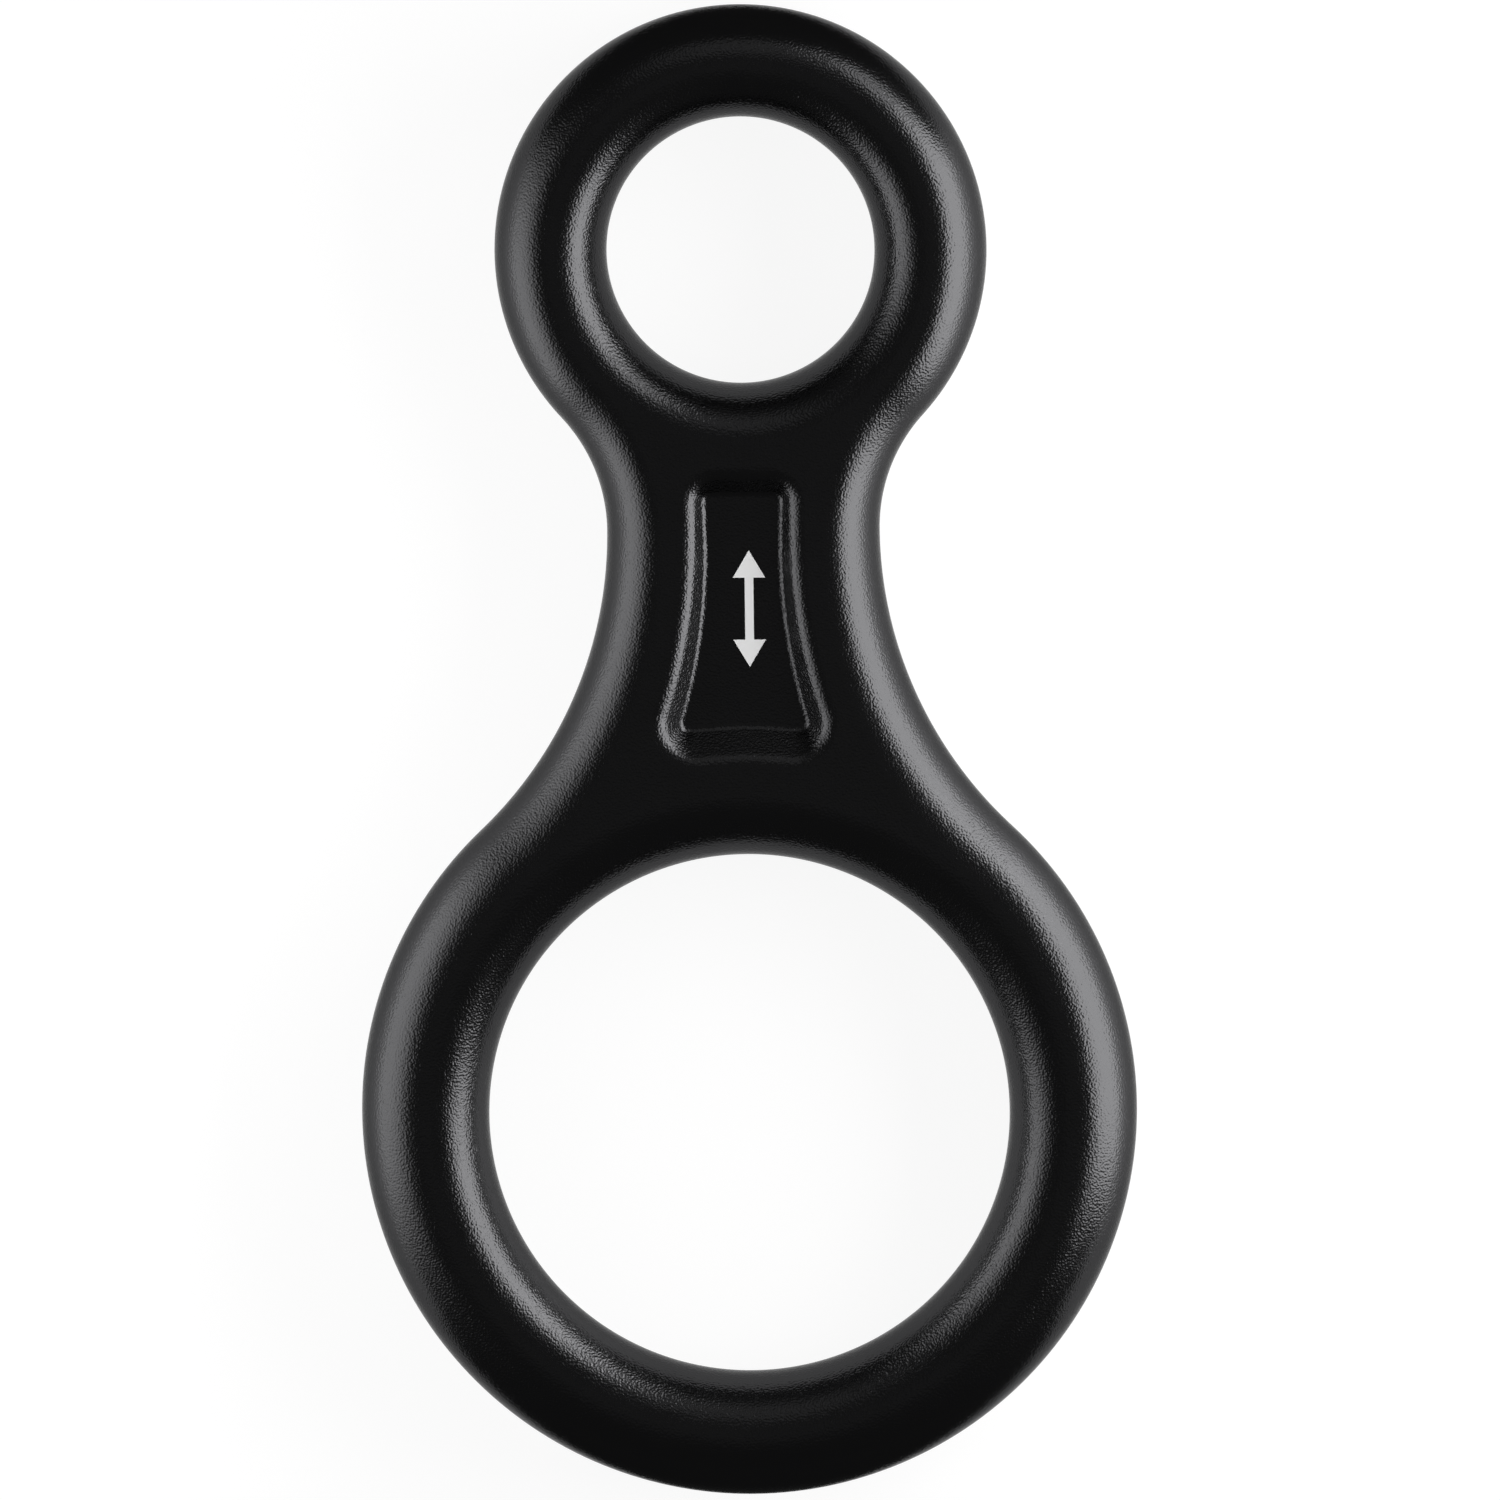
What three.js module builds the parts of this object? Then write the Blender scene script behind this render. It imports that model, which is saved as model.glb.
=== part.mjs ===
// Figure eight descender, hot forged from one aluminium bar and anodised black.
// A small eye for the connector stands at +Y and a large eye for the rope at -Y.
// A flat web joins the two rings and carries a sunk panel on each face.
// The forging lies flat on Z = 0, with the middle of its length over the origin.

import * as THREE from 'three';
import { mergeVertices } from 'three/addons/utils/BufferGeometryUtils.js';

// Driving dimensions of the forging, in millimetres
const bodyThickness = 11;
const smallEyeRadius = 10.72;
const smallRingRadius = 19.7;
const largeEyeRadius = 20.87;
const largeRingRadius = 31.1;
const ringDistance = 69.2;
// The large eye sits a little off its ring, away from the neck.
const largeEyeShift = 0.3;
const neckWidth = 21.84;
const neckFromSmallRing = 22.5;

// Driving dimensions of the sunk panel. Its floor sinks evenly from the neck to the wide end.
const panelNarrowDepth = 1.42;
const panelWideDepth = 2.05;
// How far each side flares out, as a share of the way from the neck to the wide end
const panelFlareShare = 0.22;
// The flat left between the panel and the small crest, the large crest and the neck's crest
const smallCrestLand = 1.68;
const largeCrestLand = 2.2;
const neckSideLand = 1.18;
const lipRadius = 1.9;
const footRadius = 0.85;
const floorCornerRadius = 0.3;
// The slope of the wall's straight part, in degrees, on the sides and at the wide end
const sideWallDegrees = 51;
const wideWallDegrees = 40;

// Facet counts
const sectionSteps = 8;
const smallRingSteps = 44;
const smallWebSteps = 16;
const largeRingSteps = 54;
const largeWebSteps = 18;
const neckSmallSteps = 9;
const neckLargeSteps = 13;
const panelEndSteps = 4;
const panelCornerSteps = 5;
const panelFlareSteps = 8;
const lipSteps = 4;
const footSteps = 3;

// Places that follow from the driving dimensions
const overallLength = smallRingRadius + ringDistance + largeRingRadius;
const smallRingY = overallLength / 2 - smallRingRadius;
const largeRingY = smallRingY - ringDistance;
const neckY = smallRingY - neckFromSmallRing;
const neckHalfWidth = neckWidth / 2;
const crestHeight = bodyThickness / 2;

// A ring's crest runs halfway between its outer edge and its eye.
function makeRing(y, outerRadius, eyeRadius, eyeShift) {
  return {
    centre: new THREE.Vector2(0, y),
    eyeCentre: new THREE.Vector2(0, y - eyeShift),
    crestDrift: new THREE.Vector2(0, -eyeShift / 2),
    outerRadius,
    eyeRadius,
    crestRadius: (outerRadius + eyeRadius) / 2,
  };
}

const smallRing = makeRing(smallRingY, smallRingRadius, smallEyeRadius, 0);
const largeRing = makeRing(largeRingY, largeRingRadius, largeEyeRadius, largeEyeShift);

// The neck's side is two arcs that meet at its narrowest point. Each is tangent to its ring.
function makeNeckArc(ring) {
  const along = ring.centre.y - neckY;
  const squares = neckHalfWidth ** 2 + along ** 2 - ring.outerRadius ** 2;
  const radius = squares / (2 * (ring.outerRadius - neckHalfWidth));
  const centre = new THREE.Vector2(neckHalfWidth + radius, neckY);
  const tangentAngle = Math.atan2(centre.y - ring.centre.y, centre.x - ring.centre.x);
  return { centre, radius, tangentAngle };
}

const smallNeckArc = makeNeckArc(smallRing);
const largeNeckArc = makeNeckArc(largeRing);

function pointOnCircle(centre, radius, angle) {
  return new THREE.Vector2(
    centre.x + radius * Math.cos(angle),
    centre.y + radius * Math.sin(angle),
  );
}

// Numbers from start to end in equal steps, both ends included
function spread(start, end, steps) {
  return Array.from({ length: steps + 1 }, (_, i) => start + ((end - start) * i) / steps);
}

// A station pairs a point on an edge with the crest point that its round section rises to.
function ringStation(ring, angle) {
  const edge = pointOnCircle(ring.centre, ring.outerRadius, angle);
  const crest = pointOnCircle(ring.centre, ring.crestRadius, angle).add(ring.crestDrift);
  return { edge, crest };
}

function eyeStation(ring, angle) {
  const edge = pointOnCircle(ring.eyeCentre, ring.eyeRadius, angle);
  const crest = pointOnCircle(ring.centre, ring.crestRadius, angle).add(ring.crestDrift);
  return { edge, crest };
}

const neckTopY = pointOnCircle(smallRing.centre, smallRingRadius, smallNeckArc.tangentAngle).y;
const neckFootY = pointOnCircle(largeRing.centre, largeRingRadius, largeNeckArc.tangentAngle).y;

// On the neck the rounded edge passes smoothly from one ring's width to the other's.
function neckStation(arc, angle) {
  const edge = pointOnCircle(arc.centre, arc.radius, angle);
  const blend = THREE.MathUtils.smoothstep(edge.y, neckFootY, neckTopY);
  const smallWidth = smallRing.outerRadius - smallRing.crestRadius;
  const largeWidth = largeRing.outerRadius - largeRing.crestRadius;
  const width = THREE.MathUtils.lerp(largeWidth, smallWidth, blend);
  const crest = pointOnCircle(arc.centre, arc.radius + width, angle);
  crest.addScaledVector(largeRing.crestDrift, 1 - blend);
  return { edge, crest };
}

function mirrorStation({ edge, crest }) {
  return {
    edge: new THREE.Vector2(-edge.x, edge.y),
    crest: new THREE.Vector2(-crest.x, crest.y),
  };
}

// The right side of the neck, from the large ring up to the small one
function neckStations() {
  const half = Math.PI;
  const lower = spread(half + largeNeckArc.tangentAngle, half, neckLargeSteps)
    .map((angle) => neckStation(largeNeckArc, angle));
  const upper = spread(half, half + smallNeckArc.tangentAngle, neckSmallSteps)
    .map((angle) => neckStation(smallNeckArc, angle));
  return lower.concat(upper.slice(1));
}

// Where a ring's outer edge leaves it for the neck, on the right and on the left
const smallRightAngle = smallNeckArc.tangentAngle;
const smallLeftAngle = Math.PI - smallRightAngle;
const largeRightAngle = largeNeckArc.tangentAngle;
const largeLeftAngle = Math.PI - largeRightAngle;
const fullTurn = 2 * Math.PI;

const smallRingAngles = spread(smallRightAngle, smallLeftAngle, smallRingSteps);
const smallWebAngles = spread(smallLeftAngle, smallRightAngle + fullTurn, smallWebSteps);
const largeRingAngles = spread(largeLeftAngle, largeRightAngle + fullTurn, largeRingSteps);
const largeWebAngles = spread(largeRightAngle, largeLeftAngle, largeWebSteps);

// The upper half of the surface is gathered here as corner points, three to a triangle.
const upperTriangles = [];

function addTriangle(a, b, c) {
  upperTriangles.push(a, b, c);
}

function addQuad(a, b, c, d) {
  addTriangle(a, b, c);
  addTriangle(a, c, d);
}

// The section between an edge and its crest is a quarter of an ellipse.
function sectionColumn({ edge, crest }) {
  return spread(0, Math.PI / 2, sectionSteps).map((rise) => {
    const plan = new THREE.Vector2().lerpVectors(crest, edge, Math.cos(rise));
    return new THREE.Vector3(plan.x, plan.y, crestHeight * Math.sin(rise));
  });
}

// Joins neighbouring columns of points, with the surface facing up when they run to the left.
function addStrip(columns) {
  for (let i = 0; i + 1 < columns.length; i += 1) {
    const here = columns[i];
    const next = columns[i + 1];
    for (let k = 0; k + 1 < here.length; k += 1) {
      addQuad(here[k], next[k], next[k + 1], here[k + 1]);
    }
  }
}

function addEdgeBand(stations) {
  addStrip(stations.map(sectionColumn));
}

// Fills a flat outline, with an optional hole in it. The height of each point comes from its plan.
function addFlat(contour, hole, heightAt) {
  const holes = hole ? [hole] : [];
  const points = contour.concat(...holes).map((p) => new THREE.Vector3(p.x, p.y, heightAt(p)));
  THREE.ShapeUtils.triangulateShape(contour, holes).forEach(([a, b, c]) => {
    const [pa, pb, pc] = [points[a], points[b], points[c]];
    const turn = (pb.x - pa.x) * (pc.y - pa.y) - (pb.y - pa.y) * (pc.x - pa.x);
    if (turn > 0) addTriangle(pa, pb, pc);
    else addTriangle(pa, pc, pb);
  });
}

// A wall of the panel falls over a convex lip, a straight slope and a concave foot.
// It eases from the side's slope to the wide end's as it turns to face up the panel.
// Where the depth is too small for the slope, the lip runs straight into the foot.
const wallRadii = lipRadius + footRadius;
function wallSlope(inward, depth) {
  const facing = Math.max(0, inward.y) ** 2;
  const wanted = THREE.MathUtils.lerp(sideWallDegrees, wideWallDegrees, facing);
  return Math.min(THREE.MathUtils.degToRad(wanted), Math.acos(Math.max(0, 1 - depth / wallRadii)));
}

function wallRun(inward, depth) {
  const slope = wallSlope(inward, depth);
  const straightDrop = depth - wallRadii * (1 - Math.cos(slope));
  return wallRadii * Math.sin(slope) + straightDrop / Math.tan(slope);
}

// The panel fills the flat of the web, less the land left all round it.
const downPanel = new THREE.Vector2(0, -1);
const upPanel = new THREE.Vector2(0, 1);
const neckCrest = neckStation(smallNeckArc, Math.PI).crest;
const panelNarrowHalf = neckCrest.x - neckSideLand;
const panelNarrowY = smallRingY - smallRing.crestRadius - smallCrestLand;
const panelWideY = largeRingY + largeRing.crestDrift.y + largeRing.crestRadius + largeCrestLand;
const narrowRun = wallRun(downPanel, panelNarrowDepth);
const wideRun = wallRun(upPanel, panelWideDepth);

function panelDepthAt(y) {
  const narrowFloorY = panelNarrowY - narrowRun;
  const wideFloorY = panelWideY + wideRun;
  const share = (narrowFloorY - y) / (narrowFloorY - wideFloorY);
  return THREE.MathUtils.lerp(panelNarrowDepth, panelWideDepth, share);
}

// The point at two given distances from two centres, on the left of the way between them
function tangentCentre(first, firstReach, second, secondReach) {
  const way = second.clone().sub(first);
  const gap = way.length();
  const along = (gap ** 2 + firstReach ** 2 - secondReach ** 2) / (2 * gap);
  const aside = Math.sqrt(firstReach ** 2 - along ** 2);
  const unit = way.normalize();
  const left = new THREE.Vector2(-unit.y, unit.x);
  return first.clone().addScaledVector(unit, along).addScaledVector(left, aside);
}

// An arc of the panel's edge, as points with the directions into the panel. Inward is 1 where
// those point away from the arc's centre and -1 where they point towards it.
function panelArc(centre, radius, start, end, steps, inward) {
  return spread(start, end, steps).map((angle) => ({
    edge: pointOnCircle(centre, radius, angle),
    inward: new THREE.Vector2(Math.cos(angle), Math.sin(angle)).multiplyScalar(inward),
  }));
}

// Half of the panel's edge, from the middle of its narrow end round to its wide end.
// Its side runs straight to the neck's narrowest point, or its own corner where that is lower,
// and then flares out along an arc. The wide end is an arch that follows the large crest.
function panelHalfEdge() {
  const narrowRadius = narrowRun + floorCornerRadius;
  const narrowCorner = new THREE.Vector2(panelNarrowHalf - narrowRadius, panelNarrowY - narrowRadius);
  const flareY = Math.min(neckY, narrowCorner.y);
  const flareLength = flareY - panelWideY;
  const flareRadius = (flareLength * (1 + panelFlareShare ** 2)) / (2 * panelFlareShare);
  const flareCentre = new THREE.Vector2(panelNarrowHalf + flareRadius, flareY);
  const archRadius = largeRing.crestRadius + largeCrestLand;
  const archCentre = new THREE.Vector2(0, panelWideY - archRadius);

  // The wide corner touches the arch and the flare from inside.
  const wideRadius = wideRun + floorCornerRadius;
  const wideCorner = tangentCentre(
    archCentre,
    archRadius + wideRadius,
    flareCentre,
    flareRadius + wideRadius,
  );
  const archTurn = archCentre.clone().sub(wideCorner);
  const archAngle = Math.atan2(archTurn.y, archTurn.x);
  const flareTurn = flareCentre.clone().sub(wideCorner);
  const flareAngle = Math.atan2(flareTurn.y, flareTurn.x);

  const half = Math.PI;
  const narrowEnd = spread(0, narrowCorner.x, panelEndSteps)
    .map((x) => ({ edge: new THREE.Vector2(x, panelNarrowY), inward: downPanel }));
  return [
    ...narrowEnd,
    ...panelArc(narrowCorner, narrowRadius, half / 2, 0, panelCornerSteps, -1).slice(1),
    ...panelArc(flareCentre, flareRadius, half, half + flareAngle, panelFlareSteps, 1),
    ...panelArc(wideCorner, wideRadius, flareAngle, archAngle, panelCornerSteps, -1).slice(1),
    ...panelArc(archCentre, archRadius, archAngle + half, half / 2, panelEndSteps, 1).slice(1),
  ];
}

// Each point of the floor's outline lies inward of its edge point by the wall's run there.
// The run depends on the floor's depth, so the place is worked out a few times over.
function wallFoot({ edge, inward }) {
  const foot = edge.clone();
  for (let i = 0; i < 4; i += 1) {
    foot.copy(edge).addScaledVector(inward, wallRun(inward, panelDepthAt(foot.y)));
  }
  return { edge, inward, foot };
}

function mirrorWall({ edge, inward, foot }) {
  return {
    edge: new THREE.Vector2(-edge.x, edge.y),
    inward,
    foot: new THREE.Vector2(-foot.x, foot.y),
  };
}

function wallColumn({ edge, inward, foot }) {
  const depth = panelDepthAt(foot.y);
  const slope = wallSlope(inward, depth);
  const run = edge.distanceTo(foot);
  const lipArc = spread(0, slope, lipSteps)
    .map((angle) => [lipRadius * Math.sin(angle), lipRadius * (1 - Math.cos(angle))]);
  const footArc = spread(slope, 0, footSteps).map((angle) => [
    run - footRadius * Math.sin(angle),
    depth - footRadius * (1 - Math.cos(angle)),
  ]);
  return lipArc.concat(footArc).map(([along, drop]) => {
    const plan = new THREE.Vector2().lerpVectors(edge, foot, along / run);
    return new THREE.Vector3(plan.x, plan.y, crestHeight - drop);
  });
}

// The walls all round the panel, counterclockwise and without the first one repeated
const rightWalls = panelHalfEdge().map(wallFoot).reverse();
const leftWalls = rightWalls.slice(1, -1).reverse().map(mirrorWall);
const panelWalls = rightWalls.concat(leftWalls);

// Rings, eyes and neck, each as a band from its edge up to its crest
const rightNeck = neckStations();
const leftNeck = rightNeck.map(mirrorStation).reverse();
addEdgeBand(smallRingAngles.map((angle) => ringStation(smallRing, angle)));
addEdgeBand(largeRingAngles.map((angle) => ringStation(largeRing, angle)));
addEdgeBand(rightNeck);
addEdgeBand(leftNeck);
[
  [smallRing, smallRingAngles.concat(smallWebAngles.slice(1))],
  [largeRing, largeRingAngles.concat(largeWebAngles.slice(1).map((a) => a + fullTurn))],
].forEach(([ring, angles]) => {
  addEdgeBand(angles.reverse().map((angle) => eyeStation(ring, angle)));
});

// The flat of the web lies between the four crests, with the panel let into it.
const smallWebCrest = smallWebAngles.map((angle) => eyeStation(smallRing, angle).crest).reverse();
const largeWebCrest = largeWebAngles.map((angle) => eyeStation(largeRing, angle).crest).reverse();
const webContour = [
  ...rightNeck.map((station) => station.crest).slice(1),
  ...smallWebCrest.slice(1),
  ...leftNeck.map((station) => station.crest).slice(1),
  ...largeWebCrest.slice(1),
];
addFlat(webContour, panelWalls.map((wall) => wall.edge), () => crestHeight);
const wallColumns = panelWalls.map(wallColumn);
addStrip(wallColumns.concat([wallColumns[0]]));
addFlat(panelWalls.map((wall) => wall.foot), null, (p) => crestHeight - panelDepthAt(p.y));

// The lower half mirrors the upper one, and both are lifted so that the crests rest on Z = 0.
const corners = upperTriangles.map((p) => [p.x, p.y, bodyThickness / 2 + p.z]);
for (let i = 0; i < upperTriangles.length; i += 3) {
  [upperTriangles[i], upperTriangles[i + 2], upperTriangles[i + 1]].forEach((p) => {
    corners.push([p.x, p.y, bodyThickness / 2 - p.z]);
  });
}

const soup = new THREE.BufferGeometry();
soup.setAttribute('position', new THREE.Float32BufferAttribute(corners.flat(), 3));
const bodyGeometry = mergeVertices(soup);
bodyGeometry.computeVertexNormals();

const blackAnodised = new THREE.MeshStandardMaterial({
  color: 0x3b3b3c,
  roughness: 0.27,
  metalness: 1,
});

const body = new THREE.Mesh(bodyGeometry, blackAnodised);
body.name = 'descender_body';

const descender = new THREE.Group();
descender.name = 'figure_eight_descender';
descender.add(body);

export default descender;
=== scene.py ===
"""Studio picture of a figure eight descender, a black anodised forging lying on a pale floor.

The forging is one closed surface worked out on numpy grids: two rings, the neck between them and a
sunk panel in each face of the web. Sizes are in millimetres until a mesh is made.
"""
import logging
import math
from dataclasses import dataclass, field
from enum import Enum

import bpy
import numpy as np
from bpy.types import ID, Light, Material, Mesh, Node, NodeSocket, NodeTree, Object
from mathutils import Matrix, Vector
from mathutils.geometry import tessellate_polygon


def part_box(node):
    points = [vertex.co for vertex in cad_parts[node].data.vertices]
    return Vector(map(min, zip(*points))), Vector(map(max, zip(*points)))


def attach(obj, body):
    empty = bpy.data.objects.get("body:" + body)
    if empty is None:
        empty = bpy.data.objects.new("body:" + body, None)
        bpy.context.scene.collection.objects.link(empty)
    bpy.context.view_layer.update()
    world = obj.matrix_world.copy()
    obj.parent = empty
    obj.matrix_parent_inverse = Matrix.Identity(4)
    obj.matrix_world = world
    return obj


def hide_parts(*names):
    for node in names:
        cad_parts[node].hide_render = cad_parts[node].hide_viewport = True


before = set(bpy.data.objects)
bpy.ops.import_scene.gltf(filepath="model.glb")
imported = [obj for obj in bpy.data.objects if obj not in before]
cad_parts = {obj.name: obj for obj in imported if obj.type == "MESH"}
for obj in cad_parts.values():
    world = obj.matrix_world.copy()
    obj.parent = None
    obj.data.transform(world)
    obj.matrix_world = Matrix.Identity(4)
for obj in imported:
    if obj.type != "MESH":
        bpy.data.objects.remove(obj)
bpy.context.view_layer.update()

LOG = logging.getLogger("descender")
BODY_NODE = "descender_body"
BODY = "root"
# A millimetre in metres.
METRES = 0.001
FULL_TURN = 2 * math.pi
QUARTER_TURN = math.pi / 2
MIRROR_X = np.array([-1.0, 1.0])
# Points of a mesh that are nearer to each other than this, in metres, become one.
MERGE_DISTANCE = 2e-7
# The arrow's face, by its outline's point numbers: three triangles for each head, two between.
ARROW_TRIANGLES = np.array([(0, 1, 2), (0, 2, 8), (0, 8, 9), (2, 3, 7), (2, 7, 8), (5, 7, 3),
                            (5, 3, 4), (5, 6, 7)])


class Side(Enum):
    """The side of the object that a lamp stands on, as the sign of X."""

    LEFT = -1
    RIGHT = 1


def srgb(hex_colour: str) -> tuple[float, float, float, float]:
    """Turns an sRGB hex colour into the linear colour that shaders take, by the standard's curve.

    Args:
        hex_colour: Six hex digits, with or without a leading hash.

    Returns:
        Linear red, green, blue and an alpha of one.
    """
    digits = hex_colour.lstrip("#")
    channels = [int(digits[i:i + 2], 16) / 255 for i in (0, 2, 4)]
    linear = [c / 12.92 if c <= 0.04045 else ((c + 0.055) / 1.055) ** 2.4 for c in channels]
    return (*linear, 1.0)


def add_node(tree: NodeTree, kind: str, inputs: dict | None = None, **settings: object) -> Node:
    """Adds one shader node, with its settings and what goes into it.

    Args:
        tree: The node tree that gets the node.
        kind: Blender's name for the node's type, such as ShaderNodeBump.
        inputs: Output sockets or values by the name or number of the input that each one feeds.
        settings: Values by name, for an input socket or, failing that, a property of the node.

    Returns:
        The new node.
    """
    node = tree.nodes.new(kind)
    for name, value in settings.items():
        label = name.replace("_", " ").title()
        if label in node.inputs:
            node.inputs[label].default_value = value
        else:
            setattr(node, name, value)
    for name, source in (inputs or {}).items():
        if isinstance(source, NodeSocket):
            tree.links.new(source, node.inputs[name])
        else:
            node.inputs[name].default_value = source
    return node


def new_tree(block: ID, output: str = "ShaderNodeOutputMaterial") -> tuple[NodeTree, NodeSocket]:
    """Empties the node tree of a material, world or lamp and gives it an output.

    Args:
        block: The material, world or lamp that is about to be built.
        output: Blender's name for the output node's type.

    Returns:
        The tree and its output's surface socket.
    """
    block.use_nodes = True
    tree = block.node_tree
    tree.nodes.clear()
    return tree, add_node(tree, output).inputs["Surface"]


def add_glow(tree: NodeTree, shader: Node, strength: NodeSocket | float) -> NodeSocket:
    """Adds a white light of its own to a shader.

    Args:
        tree: The node tree that gets the nodes.
        shader: The shader of the surface.
        strength: The light's strength, or the socket that carries it.

    Returns:
        The output of both together.
    """
    glow = add_node(tree, "ShaderNodeEmission", {"Strength": strength})
    both = add_node(tree, "ShaderNodeAddShader", {0: shader.outputs[0], 1: glow.outputs[0]})
    return both.outputs[0]


def circle_points(centre: np.ndarray, radius: float | np.ndarray,
                  angles: np.ndarray) -> np.ndarray:
    """Points on a circle: centre plus radius times (cosine, sine) of each angle.

    Args:
        centre: The circle's centre in plan.
        radius: Its radius, or one radius for each angle.
        angles: Angles from +X towards +Y, in radians.

    Returns:
        An array of plan points, one row for each angle.
    """
    reach = np.broadcast_to(radius, angles.shape)
    return centre + reach[:, None] * np.stack([np.cos(angles), np.sin(angles)], axis=-1)


def smoothstep(share: np.ndarray) -> np.ndarray:
    """Eases from 0 to 1: three times the square less twice the cube of the clamped share."""
    held = np.clip(share, 0.0, 1.0)
    return held * held * (3 - 2 * held)


def eased_rises(steps: int, ease: float) -> np.ndarray:
    """Angles from 0 to a quarter turn whose steps shrink towards the quarter turn.

    The angle is a quarter turn times one less the remaining share to the power ease, so that the
    surface meets a flat with hardly any change of slope.

    Args:
        steps: How many steps the quarter turn is cut into.
        ease: The power, above one.

    Returns:
        The rising angles, both ends included.
    """
    return QUARTER_TURN * (1 - (1 - np.linspace(0, 1, steps + 1)) ** ease)


@dataclass(frozen=True)
class Ring:
    """One ring of the forging, round in plan, with an eye that may sit a little off its centre.

    Attributes:
        centre_y: The place of the outer circle's centre along Y.
        outer_radius: The radius of the outer edge.
        eye_radius: The radius of the eye's edge.
        eye_shift: How far the eye's centre lies below the outer one.
    """

    centre_y: float
    outer_radius: float
    eye_radius: float
    eye_shift: float = 0.0

    @property
    def crest_radius(self) -> float:
        """The crest runs halfway between the outer edge and the eye."""
        return (self.outer_radius + self.eye_radius) / 2

    @property
    def crest_drift(self) -> np.ndarray:
        """How far the crest's centre follows the eye's."""
        return np.array([0.0, -self.eye_shift / 2])

    @property
    def half_width(self) -> float:
        """The distance from the outer edge to the crest."""
        return self.outer_radius - self.crest_radius

    def outer(self, angles: np.ndarray) -> np.ndarray:
        """Points on the outer edge at these angles."""
        return circle_points(np.array([0.0, self.centre_y]), self.outer_radius, angles)

    def eye(self, angles: np.ndarray) -> np.ndarray:
        """Points on the eye's edge at these angles."""
        centre = np.array([0.0, self.centre_y - self.eye_shift])
        return circle_points(centre, self.eye_radius, angles)

    def crest(self, angles: np.ndarray) -> np.ndarray:
        """Points on the crest at these angles."""
        centre = np.array([0.0, self.centre_y]) + self.crest_drift
        return circle_points(centre, self.crest_radius, angles)


@dataclass(frozen=True)
class NeckArc:
    """The arc of the neck's side between its narrowest point and the ring that it is tangent to.

    Attributes:
        ring: The ring that the arc runs into.
        neck_y: The place of the narrowest point along Y.
        half_width: Half of the neck's width there.
    """

    ring: Ring
    neck_y: float
    half_width: float

    @property
    def radius(self) -> float:
        """The radius that makes the arc tangent to the ring from outside."""
        along = self.ring.centre_y - self.neck_y
        squares = self.half_width ** 2 + along ** 2 - self.ring.outer_radius ** 2
        return squares / (2 * (self.ring.outer_radius - self.half_width))

    @property
    def centre(self) -> np.ndarray:
        """The arc's centre, level with the narrowest point and outside the neck."""
        return np.array([self.half_width + self.radius, self.neck_y])

    @property
    def tangent_angle(self) -> float:
        """The angle, seen from the ring's centre, at which the arc leaves the ring."""
        centre = self.centre
        return math.atan2(centre[1] - self.ring.centre_y, centre[0])


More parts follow.
